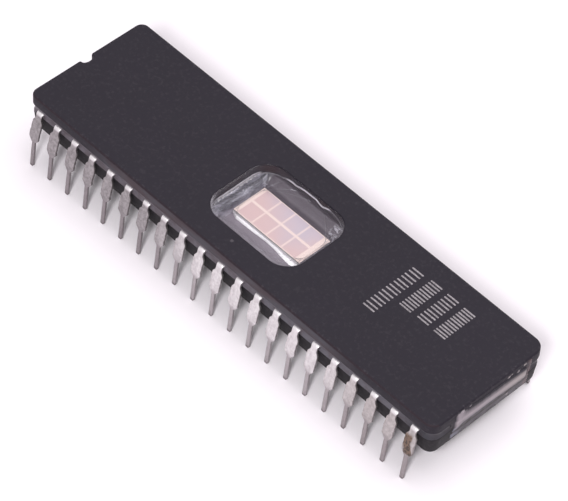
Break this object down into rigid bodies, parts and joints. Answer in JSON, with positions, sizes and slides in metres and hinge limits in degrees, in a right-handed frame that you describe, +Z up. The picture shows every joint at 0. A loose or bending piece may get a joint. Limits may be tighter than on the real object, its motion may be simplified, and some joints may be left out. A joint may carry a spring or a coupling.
{
  "type": "windowed ceramic memory chip",
  "caption": "Dual in-line ceramic chip: two dark ceramic plates sealed with glass round a lead frame, with a glass window over the die and two rows of bent leads.",
  "frame": {"origin": "under the middle of the ceramic package, on the plane that the lead tips stand on", "axes": "+X along the package, away from the notched end; +Y across it, from the front row of leads to the back row; +Z up, out of the window"},
  "size_m": [0.0549, 0.017, 0.0082],
  "materials": {
    "ceramic_base": "matt pressed ceramic",
    "ceramic_cap": "matt pressed ceramic",
    "seal_glass": "satin glass",
    "window_lens": "clear glass",
    "die_attach": "dull silver",
    "silicon_die": "polished",
    "leads": "tin plated"
  },
  "bodies": {
    "root": {"ceramic_base": "ceramic_base", "ceramic_cap": "ceramic_cap", "seal_glass": "seal_glass", "window_lens": "window_lens", "die_attach": "die_attach", "silicon_die": "silicon_die", "lead_01": "leads", "lead_02": "leads", "lead_03": "leads", "lead_04": "leads", "lead_05": "leads", "lead_06": "leads", "lead_07": "leads", "lead_08": "leads", "lead_09": "leads", "lead_10": "leads", "lead_11": "leads", "lead_12": "leads", "lead_13": "leads", "lead_14": "leads", "lead_15": "leads", "lead_16": "leads", "lead_17": "leads", "lead_18": "leads", "lead_19": "leads", "lead_20": "leads", "lead_21": "leads", "lead_22": "leads", "lead_23": "leads", "lead_24": "leads", "lead_25": "leads", "lead_26": "leads", "lead_27": "leads", "lead_28": "leads", "lead_29": "leads", "lead_30": "leads", "lead_31": "leads", "lead_32": "leads", "lead_33": "leads", "lead_34": "leads", "lead_35": "leads", "lead_36": "leads", "lead_37": "leads", "lead_38": "leads", "lead_39": "leads", "lead_40": "leads", "lead_41": "leads", "lead_42": "leads"}
  },
  "joints": []
}
